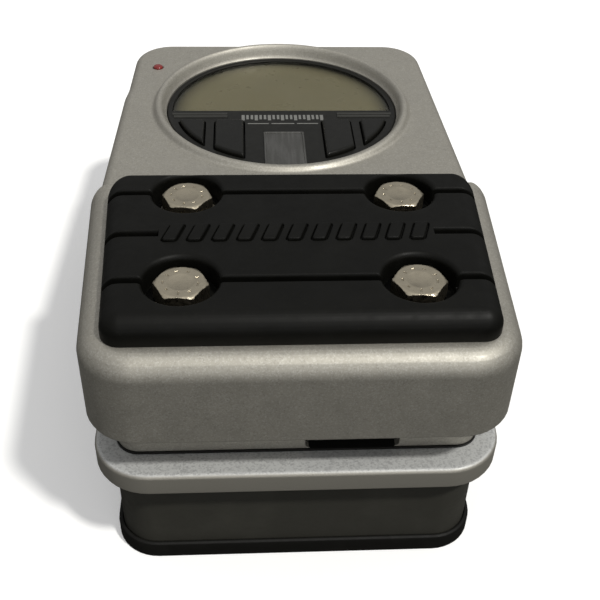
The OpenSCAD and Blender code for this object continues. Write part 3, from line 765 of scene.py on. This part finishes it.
def build_front():
    """Recessed front part under the treadle, with its slot, its spring posts and its hinge lugs."""
    skin = crowned(FRONT_W, FRONT_Y, -3.5, r0=4, r1=1, z0=FLANGE_TOP - 1, top=FRONT_TOP,
                   side_r=1.2, near_r=1.2, far_r=0.6, foot=0.1)
    front = raw_object("housing_front", *skin)
    carve(front, *loft([outline((58, 58), -55.1, 2, 2, 1, z) for z in (10, FRONT_TOP - 2.5)]))

    slot = box_mm("slot_insert")
    x0, x1, z0, z1 = slot.x0 + 2, slot.x1 - 2, 25.25, 30.6
    mouth = [(x0 + 0.9, z0), (x1 - 0.9, z0), (x1 - 0.3, z0 + 0.25), (x1, z0 + 0.85),
             (x1, z1), (x0, z1), (x0, z0 + 0.85), (x0 + 0.3, z0 + 0.25)]
    carve(front, *loft([[(x, y, z) for x, z in mouth] for y in (-60, -54)]))

    switch_r = 6.1
    carve(front, *turned([(switch_r, 30), (switch_r, 42)], (0, BOLT_Y, 0)))
    foot_z = FRONT_TOP - 0.4
    spring_post = [(1.6, foot_z), (1.6, foot_z + 2), (1.2, foot_z + 2.4)]
    for side in (-1, 1):
        a, b = sorted((side * 24.4, side * 28.4))
        lug = [(LUG_R - 0.3, a), (LUG_R, a + 0.3), (LUG_R, b - 0.3), (LUG_R - 0.3, b)]
        join(front, *block(a, b, HINGE[1] - LUG_R, HINGE[1] + LUG_R, foot_z, HINGE[2]))
        join(front, *turned(lug, (0, HINGE[1], HINGE[2]), "x"))
        join(front, *turned(spring_post, (side * SPRING_X, BOLT_Y, 0), steps=24))
    carve(front, *turned([(HINGE_PIN_R, -30), (HINGE_PIN_R, 30)], (0, HINGE[1], HINGE[2]), "x"))
    settle(front, "silver_paint", "chassis")


# ---------------------------------------------------------------- display

# Inner and outer button of each side: x0, x1 and the radius of the near edge
BUTTON_SPOTS = {"inner": (8.9, 15.3, 23.9), "outer": (17.7, 26.6, 24.3)}
BUTTON_Y1 = 24.0
WINDOW_R, WINDOW_Y = 25.3, 29.3


def shorten(p, q, length):
    """The point at length from p towards q, at most half way."""
    d = math.dist(p, q)
    t = min(0.5, length / d) if d else 0
    return (p[0] + (q[0] - p[0]) * t, p[1] + (q[1] - p[1]) * t)


def soft_corners(plan, soft, sharp=math.radians(35), steps=4):
    """The plan with each corner sharper than sharp replaced by a short curve."""
    made = []
    for i, p in enumerate(plan):
        before, after = plan[i - 1], plan[(i + 1) % len(plan)]
        turn = math.atan2(after[1] - p[1], after[0] - p[0]) - math.atan2(p[1] - before[1], p[0] - before[0])
        turn = abs((turn + math.pi) % (2 * math.pi) - math.pi)
        if turn < sharp:
            made.append(p)
            continue
        start, end = shorten(p, before, soft), shorten(p, after, soft)
        for k in range(steps + 1):
            t = k / steps
            made.append(tuple((1 - t) ** 2 * a + 2 * t * (1 - t) * c + t * t * b
                              for a, c, b in zip(start, p, end)))
    return made


def clipped_disc(x0, x1, radius, y1, inset=0.0, soft=0.6, steps=10):
    """Plan between x0, x1 and y1 whose near edge follows a circle round the display's centre."""
    x0, x1, radius, y1 = x0 + inset, x1 - inset, radius - inset, y1 - inset
    edge = math.sqrt(radius ** 2 - (DISPLAY_Y - y1) ** 2)
    right = min(x1, edge)
    plan = []
    for k in range(steps + 1):
        x = x0 + (right - x0) * k / steps
        plan.append((x, DISPLAY_Y - math.sqrt(radius ** 2 - x * x)))
    if x1 < edge:
        plan.append((right, y1))
    plan.append((x0, y1))
    return soft_corners(plan, soft)


def shrink(plan, amount):
    """A plan moved inward by amount, along each point's own normal."""
    count = len(plan)
    pairs = [(plan[i], plan[(i + 1) % count]) for i in range(count)]
    area = sum(a[0] * b[1] - b[0] * a[1] for a, b in pairs)
    sign = 1 if area > 0 else -1
    made = []
    for i, p in enumerate(plan):
        along = (Vector(plan[(i + 1) % count]) - Vector(plan[i - 1])).normalized()
        made.append((p[0] - sign * along.y * amount, p[1] + sign * along.x * amount))
    return made


def window_plan(steps=60):
    """Plan of the part of the window's disc beyond WINDOW_Y."""
    start = math.asin((WINDOW_Y - DISPLAY_Y) / WINDOW_R)
    sweep = math.pi - start - start
    turns = [start + sweep * k / steps for k in range(steps + 1)]
    return [(WINDOW_R * math.cos(a), DISPLAY_Y + WINDOW_R * math.sin(a)) for a in turns]


def build_fascia():
    """Round black plate with a low rim, cut out for the window and the four buttons."""
    r, z0, top = FASCIA_R, FASCIA.z0, FASCIA_TOP
    profile = [(r, z0), (r, top + 0.1), (r - 0.25, top + 0.25), (r - 0.6, top + 0.1), (r - 0.9, top)]
    obj = raw_object("fascia_plate", *turned(profile, (0, DISPLAY_Y, 0), steps=128))
    window = window_plan()
    deep = shrink(window, 0.1)
    carve(obj, *stack([(deep, z0 - 1), (deep, top - 0.9), (window, top + 0.05), (window, top + 1)]))
    for spot in BUTTON_SPOTS.values():
        opening = clipped_disc(*spot, BUTTON_Y1, -0.3)
        for side in (-1, 1):
            carve(obj, *prism(opening, (z0 - 1, top + 1), side))
    settle(obj, "fascia_plastic", "chassis", ["fascia"])


def build_ridges():
    """Two thin ridges on each side of the fascia, painted paler than the rest as a painted highlight along their
    tops.
    """
    x0, end, z = 12.6, 0.4, FASCIA_TOP
    bars = []
    for side in (-1, 1):
        for length, y in ((12.6, 27.7), (12.2, 26.5)):
            x1 = x0 + length
            section = [(y - 0.42, z - 0.1), (y - 0.3, z + 0.22), (y, z + 0.36),
                       (y + 0.3, z + 0.22), (y + 0.42, z - 0.1)]
            bars.append(bar(section, [side * x for x in (x0, x0 + end, x1 - end, x1)]))
    settle(raw_object("fascia_ridges", *merged(bars)), "fascia_plastic", "chassis", look=RIDGE_PAINTED_HIGHLIGHT)


def build_window():
    """Liquid crystal plate with a thin clear sheet over it, both cut to the window's shape."""
    plate = prism(shrink(window_plan(), 0.15), (box_mm("lcd_panel").z0, FASCIA_TOP - 0.55))
    settle(raw_object("lcd_plate", *plate), "lcd_grey", "chassis", ["lcd_panel"])
    sheet = prism(shrink(window_plan(), 0.12), (FASCIA_TOP - 0.45, FASCIA_TOP - 0.15))
    settle(raw_object("window_sheet", *sheet), "clear_lens", "chassis", ["display_lens"])


def build_buttons():
    """Caps with rounded edges over a hidden flange, as pairs of mirrored shapes."""
    top = box_mm("button_inner_left").z1
    flange_z0, flange_z1, flange = 41.5, 42.1, -0.6
    levels = ((flange_z0, flange), (flange_z1, flange), (flange_z1 + 0.05, 0), (top - 0.8, 0),
              (top - 0.5, 0.05), (top - 0.25, 0.18), (top - 0.08, 0.38), (top, 0.68))
    for name, spot in BUTTON_SPOTS.items():
        plans = [(clipped_disc(*spot, BUTTON_Y1, inset), z) for z, inset in levels]
        for side, word in ((1, "right"), (-1, "left")):
            obj = raw_object(f"button_cap_{name}_{word}", *stack(plans, side))
            settle(obj, "button_plastic", f"{name}_{word}", [f"button_{name}_{word}"])


def build_marks():
    """Plain printed marks between the window and the buttons: a row of ticks over a fine rule."""
    z0, z1 = FASCIA_TOP - 0.02, FASCIA_TOP + 0.03
    parts = []
    for x in range(-9, 10):
        half, y0 = (0.28, 25.2) if x % 3 else (0.36, 24.7)
        parts.append(block(x - half, x + half, y0, 27.2, z0, z1))
    for x0, x1 in ((-8.0, -3.2), (-2.6, 2.6), (3.2, 8.0)):
        parts.append(block(x0, x1, 23.0, 23.35, z0, z1))
    settle(raw_object("printed_marks", *merged(parts)), "grey_satin", "chassis", look=INK)


def build_plaque():
    """Small plate with a raised rim, its near edge following the well."""
    x0, x1, _, y1, z0, z1 = box_mm("centre_plaque")
    levels = ((z0 - 0.1, 0), (z1 - 0.12, 0), (z1, 0.12), (z1, 0.4), (z1 - 0.2, 0.5))
    plans = [(clipped_disc(x0, x1, WELL_R - 0.7, y1, inset, 0.3), z) for z, inset in levels]
    settle(raw_object("centre_plate", *stack(plans)), "grey_satin", "chassis", ["centre_plaque"])


def build_led():
    """Small domed lens."""
    x0, x1, y0, y1, z0, z1 = box_mm("power_led")
    profile = [(1.2, z0), (1.2, z1 - 0.5), (1.1, z1 - 0.3), (0.85, z1 - 0.12), (0.5, z1 - 0.03), (0.15, z1)]
    lens = turned(profile, ((x0 + x1) / 2, (y0 + y1) / 2, 0), steps=32)
    settle(raw_object("indicator_lens", *lens), "red_lens", "chassis", ["power_led"])


# ---------------------------------------------------------------- treadle

# Near and far widths
TREADLE_W = (71.8, 76.4)
PAD_W = (63.4, 67.8)

# Each bolt's turn in degrees, and the bolt whose larger washer lies to one side
BOLT_TURNS = (26, 26, 23, 33)
SLACK_WASHER = 2


def build_treadle():
    """Cast cover with rounded edges, hollow below, with hinge lugs inside its skirts."""
    y0, y1, z0, z1 = TREADLE.y0, TREADLE.y1, TREADLE.z0, TREADLE.z1
    skin = crowned(TREADLE_W, y0, y1, r0=9.5, r1=3, z0=z0, top=z1,
                   side_r=3.9, near_r=3.9, far_r=1.2, foot=0.5)
    obj = raw_object("treadle_shell", *skin)
    wall, roof = 2.5, z1 - 3
    inside_w = [w - 2 * wall for w in TREADLE_W]
    carve(obj, *loft([outline(inside_w, y0 + wall, y1 + 10, 7, 1, z, inset, inset, 0)
                      for z, inset in ((z0 - 1, 0), (roof - 1, 0), (roof - 0.3, 0.3), (roof, 1.0))]))
    for side in (-1, 1):
        a, b = sorted((side * 28.9, side * 36.6))
        join(obj, *turned([(LUG_R, a), (LUG_R, b)], (0, HINGE[1], HINGE[2]), "x"))
    carve(obj, *turned([(HINGE_PIN_R, -45), (HINGE_PIN_R, 45)], (0, HINGE[1], HINGE[2]), "x"))
    bolt_hole = [(2.7, z0), (2.7, z1 + 2)]
    for x, y in BOLT_SPOTS:
        carve(obj, *turned(bolt_hole, (x, y, 0)))
    settle(obj, "silver_paint", "treadle_body", ["treadle"])


def groove_cutter(x0, x1, y, half=0.75, depth=3.0):
    """Channel along X: steep walls that lean open at the top, and a narrower floor."""
    z = PAD_FACE
    wall = [(half + 0.4, z + 1), (half + 0.25, z + 0.02), (half + 0.04, z - 0.3), (half, z - 0.7),
            (half * 0.9, z - depth)]
    section = [(y - across, height) for across, height in wall]
    section += [(y + across, height) for across, height in reversed(wall)]
    return bar(section, (x0, x1))


def pad_rib(x, levels, lean=0.7, half_w=1.15, half_l=2.3):
    """Slanted rib across the middle of the pad, or the moat round it, at levels of (height, inset)."""
    near, far = BOLT_Y - half_l, BOLT_Y + half_l
    plan = soft_corners([(x - half_w - lean, near), (x + half_w - lean, near),
                         (x + half_w + lean, far), (x - half_w + lean, far)], 0.45)
    return stack([(shrink(plan, inset), z) for z, inset in levels])


def build_pad():
    """Rubber pad with grooves, a row of plain slanted ribs, and bolt recesses with black floors."""
    z = PAD_FACE
    skin = crowned(PAD_W, PAD.y0, PAD.y1 + 0.2, r0=3.4, r1=4.2, z0=PAD.z0, top=z,
                   side_r=3.6, near_r=3.2, far_r=1.6, foot=0.15)
    obj = raw_object("treadle_pad_skin", *skin)
    for side in (-1, 1):
        carve(obj, *groove_cutter(-40, 40, BOLT_Y + side * BOLT_DY / 2))
    for side in (-1, 1):
        carve(obj, *groove_cutter(*sorted((side * 23.5, side * 40)), BOLT_Y))
    floor_z = PAD.z0 + 0.85
    for n, (x, y) in enumerate(BOLT_SPOTS):
        hole = 5.65 if n == SLACK_WASHER else 4.4
        recess = [(hole, PAD.z0 - 1), (hole, floor_z), (6.2, floor_z), (6.2, z - 1.0), (6.35, z - 0.45),
                  (6.7, z - 0.1), (7.2, z + 0.03), (7.4, z + 1)]
        carve(obj, *turned(recess, (x, y, 0), steps=96))
    moat_levels = ((z - 0.45, -0.2), (z - 0.1, -0.3), (z + 0.5, -0.5))
    rib_levels = ((z - 0.6, 0.0), (z, 0.02), (z + 0.25, 0.05), (z + 0.36, 0.12), (z + 0.4, 0.25))
    rib_xs = [i * 4.2 for i in range(-5, 6)]
    carve(obj, *merged([pad_rib(x, moat_levels) for x in rib_xs]))
    settle(obj, "pad_rubber", "treadle_body", ["treadle_pad"])
    ribs = merged([pad_rib(x, rib_levels) for x in rib_xs])
    settle(raw_object("treadle_pad_ribs", *ribs), "pad_rubber", "treadle_body")


def stamp_bolt(head, cx, cy, z, turn):
    """Short plain strokes in a ring, cut shallow into the head."""
    pattern = random.Random(7)
    half_w, ring_r = 0.13, 2.85
    ends = ((-1, -1), (1, -1), (1, 1), (-1, 1))
    strokes = []
    for k in range(9):
        a = turn + math.radians(40 * k + pattern.uniform(-6, 6))
        length = pattern.uniform(0.5, 0.85)
        outward = Vector((math.cos(a), math.sin(a)))
        along = Vector((-outward.y, outward.x)) if k % 3 else outward
        across = Vector((-along.y, along.x))
        middle = Vector((cx, cy)) + outward * ring_r
        plan = [middle + along * length / 2 * s + across * half_w * t for s, t in ends]
        strokes.append(prism([(p.x, p.y) for p in plan], (z - 0.12, z + 0.4)))
    carve(head, *merged(strokes))


def build_bolts():
    """Washers, and hex heads with a turned chamfer and stamped strokes, each at its own angle."""
    bolts = box_mm("pad_bolts")
    low, top = bolts.z0, bolts.z1
    seat, across = top - 3.4, 8.0
    corner = across / math.sqrt(3)
    chamfer = ((seat, 0.05), (top - 0.42, 0.05), (top - 0.30, -0.14), (top - 0.15, -0.42),
               (top - 0.04, -0.66), (top, -0.90))
    dish = [(2.35, top + 0.5), (2.3, top), (2.1, top - 0.07), (0.2, top - 0.07)]
    shank = [(2.4, seat + 0.2), (2.4, low + 0.6), (1.9, low)]
    washers = []
    for n, (cx, cy) in enumerate(BOLT_SPOTS):
        turn = math.radians(BOLT_TURNS[n])
        rings = [[(cx + u, cy + v, z) for u, v in hexagon(across, corner + extra, 96, turn)]
                 for z, extra in chamfer]
        head = raw_object(f"pad_bolt_{n + 1}", *loft(rings))
        carve(head, *turned(dish, (cx, cy, 0), steps=48))
        stamp_bolt(head, cx, cy, top, turn)
        join(head, *turned(shank, (cx, cy, 0), steps=32))
        settle(head, "stainless", "treadle_body", ["pad_bolts"])

        slack, rim = (0.55, 5.0) if n == SLACK_WASHER else (0.0, 4.3)
        washer = [(2.7, seat - 1), (rim - 0.2, seat - 1), (rim, seat - 0.8), (rim, seat - 0.2),
                  (rim - 0.2, seat), (2.7, seat)]
        washers.append(turned(washer, (cx + slack, cy - slack, 0), hollow=True))
    settle(raw_object("pad_washer_set", *merged(washers)), "stainless", "treadle_body", ["pad_washers"])


def coil_rise(t):
    """Share of a spring's height at share t of its wire: nearly flat at both ends, steady between."""
    if t <= 0.06:
        return 0.12 * t
    if t >= 0.94:
        return 1 - 0.12 * (1 - t)
    return t * 1.12 - 0.06


def spring_wire(cx, cy, z0, z1, wire=0.4, radius=3.0, turns=5.5, sides=10, per_turn=28):
    """Compression spring with closed ends. Its round wire has the radius wire."""
    count = int(turns * per_turn)
    up = Vector((0, 0, 1))
    rings = []
    for k in range(count + 1):
        t = k / count
        a = 2 * math.pi * turns * t
        outward = Vector((math.cos(a), math.sin(a), 0))
        height = z0 + wire + (z1 - z0 - 2 * wire) * coil_rise(t)
        centre = Vector((cx + radius * math.cos(a), cy + radius * math.sin(a), height))
        rings.append([tuple(centre + outward * wire * math.cos(b) + up * wire * math.sin(b))
                      for b in (2 * math.pi * s / sides for s in range(sides))])
    return loft(rings)


def build_springs():
    """Two return springs, built at one fixed length."""
    springs = box_mm("return_springs")
    wires = [spring_wire(side * SPRING_X, BOLT_Y, springs.z0, springs.z1) for side in (-1, 1)]
    obj = raw_object("return_spring_wires", *merged(wires))
    settle(obj, "spring_steel", "chassis", ["return_springs"])
    obj.modifiers.clear()
    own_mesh(obj)


# ---------------------------------------------------------------- sockets

def build_jacks():
    """Chamfered hex nut with an open middle, and a washer behind it, on each plug socket."""
    across, bore = 13.0, 4.85
    corner = across / math.sqrt(3)
    x1 = JACK_NUTS.x1
    x0 = x1 - 2.2
    levels = ((x0, bore), (x0, corner - 0.6), (x0 + 0.25, corner + 0.1), (x1 - 0.5, corner + 0.1),
              (x1 - 0.2, corner - 0.35), (x1, corner - 0.9), (x1, 5.1), (x1 - 0.3, bore))
    face = box_mm("jack_washers").x1
    washer = ((bore, face - 0.8), (7.2, face - 0.8), (7.4, face - 0.6), (7.4, face - 0.15),
              (7.2, face), (bore, face))
    nuts, washers = [], []
    for side in (-1, 1):
        rings = [[(side * x, JACK_Y + u, JACK_Z + v) for u, v in hexagon(across, cone, 72)]
                 for x, cone in levels]
        rings.append(rings[0])
        nuts.append(loft(rings, False))
        washers.append(turned([(r, side * x) for r, x in washer], (0, JACK_Y, JACK_Z), "x", hollow=True))
    settle(raw_object("jack_nut_set", *merged(nuts)), "bright_chrome", "chassis", ["jack_nuts"])
    settle(raw_object("jack_washer_set", *merged(washers)), "zinc_steel", "chassis", ["jack_washers"])


build_tub()
build_foot()
build_base_screws()
build_block()
build_flange()
build_front_contact_shadow()
build_front()
build_fascia()
build_ridges()
build_window()
build_buttons()
build_marks()
build_plaque()
build_led()
build_treadle()
build_pad()
build_bolts()
build_springs()
build_jacks()


# ---------------------------------------------------------------- stage, light and camera

def build_stage():
    """Pale floor with a faint glow to the camera, and a dark one to reflections and other light."""
    size, depth = 3000, 10
    floor = raw_object("floor", *block(-size, size, -size, size, -depth, 0))
    m = Shader("floor", (0.86, 0.86, 0.86), 0.9, Specular_IOR_Level=0.1)
    m.tint(m.fit(m.noise(400, 2), 0.3, 0.7, 0.0, 0.2), (0.84, 0.84, 0.84))
    m.shader.inputs["Emission Color"].default_value = (1.0, 1.0, 1.0, 1.0)
    m.shader.inputs["Emission Strength"].default_value = 0.22
    dark = m.node("ShaderNodeBsdfDiffuse")
    dark.inputs["Color"].default_value = (0.06, 0.06, 0.057, 1.0)
    mix = m.node("ShaderNodeMixShader")
    m.feed(m.node("ShaderNodeLightPath").outputs["Is Camera Ray"], mix.inputs["Fac"])
    m.feed(dark.outputs["BSDF"], mix.inputs[1])
    m.feed(m.shader.outputs["BSDF"], mix.inputs[2])
    m.feed(mix.outputs["Shader"], m.tree.nodes["Material Output"].inputs["Surface"])
    floor.data.materials.append(m.material)


def build_world():
    """Soft studio surround, bright overhead and dim at the horizon. The camera sees a pale backdrop."""
    world = bpy.data.worlds.new("studio")
    scene.world = world
    world.use_nodes = True
    tree = world.node_tree
    place = tree.nodes.new("ShaderNodeTexCoord")
    axes = tree.nodes.new("ShaderNodeSeparateXYZ")
    tree.links.new(place.outputs["Generated"], axes.inputs["Vector"])
    overhead = tree.nodes.new("ShaderNodeMapRange")
    overhead.inputs["To Min"].default_value = 0.36
    overhead.inputs["To Max"].default_value = 1.10
    tree.links.new(axes.outputs["Z"], overhead.inputs["Value"])
    surround = tree.nodes["Background"]
    surround.inputs["Strength"].default_value = 0.55
    tree.links.new(overhead.outputs["Result"], surround.inputs["Color"])
    backdrop = tree.nodes.new("ShaderNodeBackground")
    backdrop.inputs["Color"].default_value = (0.95, 0.95, 0.95, 1.0)
    seen = tree.nodes.new("ShaderNodeLightPath")
    mix = tree.nodes.new("ShaderNodeMixShader")
    tree.links.new(seen.outputs["Is Camera Ray"], mix.inputs["Fac"])
    tree.links.new(surround.outputs["Background"], mix.inputs[1])
    tree.links.new(backdrop.outputs["Background"], mix.inputs[2])
    tree.links.new(mix.outputs["Shader"], tree.nodes["World Output"].inputs["Surface"])


def add_sun(name, strength, direction, spread, color=(1.0, 1.0, 1.0)):
    """Sunlight that comes from direction, softened by its spread in degrees."""
    data = bpy.data.lights.new(name, "SUN")
    data.energy = strength
    data.angle = math.radians(spread)
    data.color = color
    sun = bpy.data.objects.new(name, data)
    sun.location = direction
    sun.rotation_euler = (-Vector(direction)).to_track_quat("-Z", "Y").to_euler()
    scene.collection.objects.link(sun)


def build_camera():
    """Camera above and in front of the near end, looking down at the pedal."""
    data = bpy.data.cameras.new("camera")
    data.lens = 57.27
    data.sensor_width = 36.0
    data.clip_start = 0.01
    camera = bpy.data.objects.new("camera", data)
    camera.location = (-0.00884, -0.17030, 0.14944)
    camera.rotation_euler = [math.radians(a) for a in (50.956, -1.458, -2.970)]
    scene.collection.objects.link(camera)
    scene.camera = camera


build_stage()
build_world()
add_sun("key", 2.3, (0.46, -0.44, 1.0), 5, (1.0, 0.985, 0.94))
add_sun("fill", 0.45, (0.1, -1.0, 0.30), 50)
build_camera()
scene.view_settings.view_transform = "Standard"
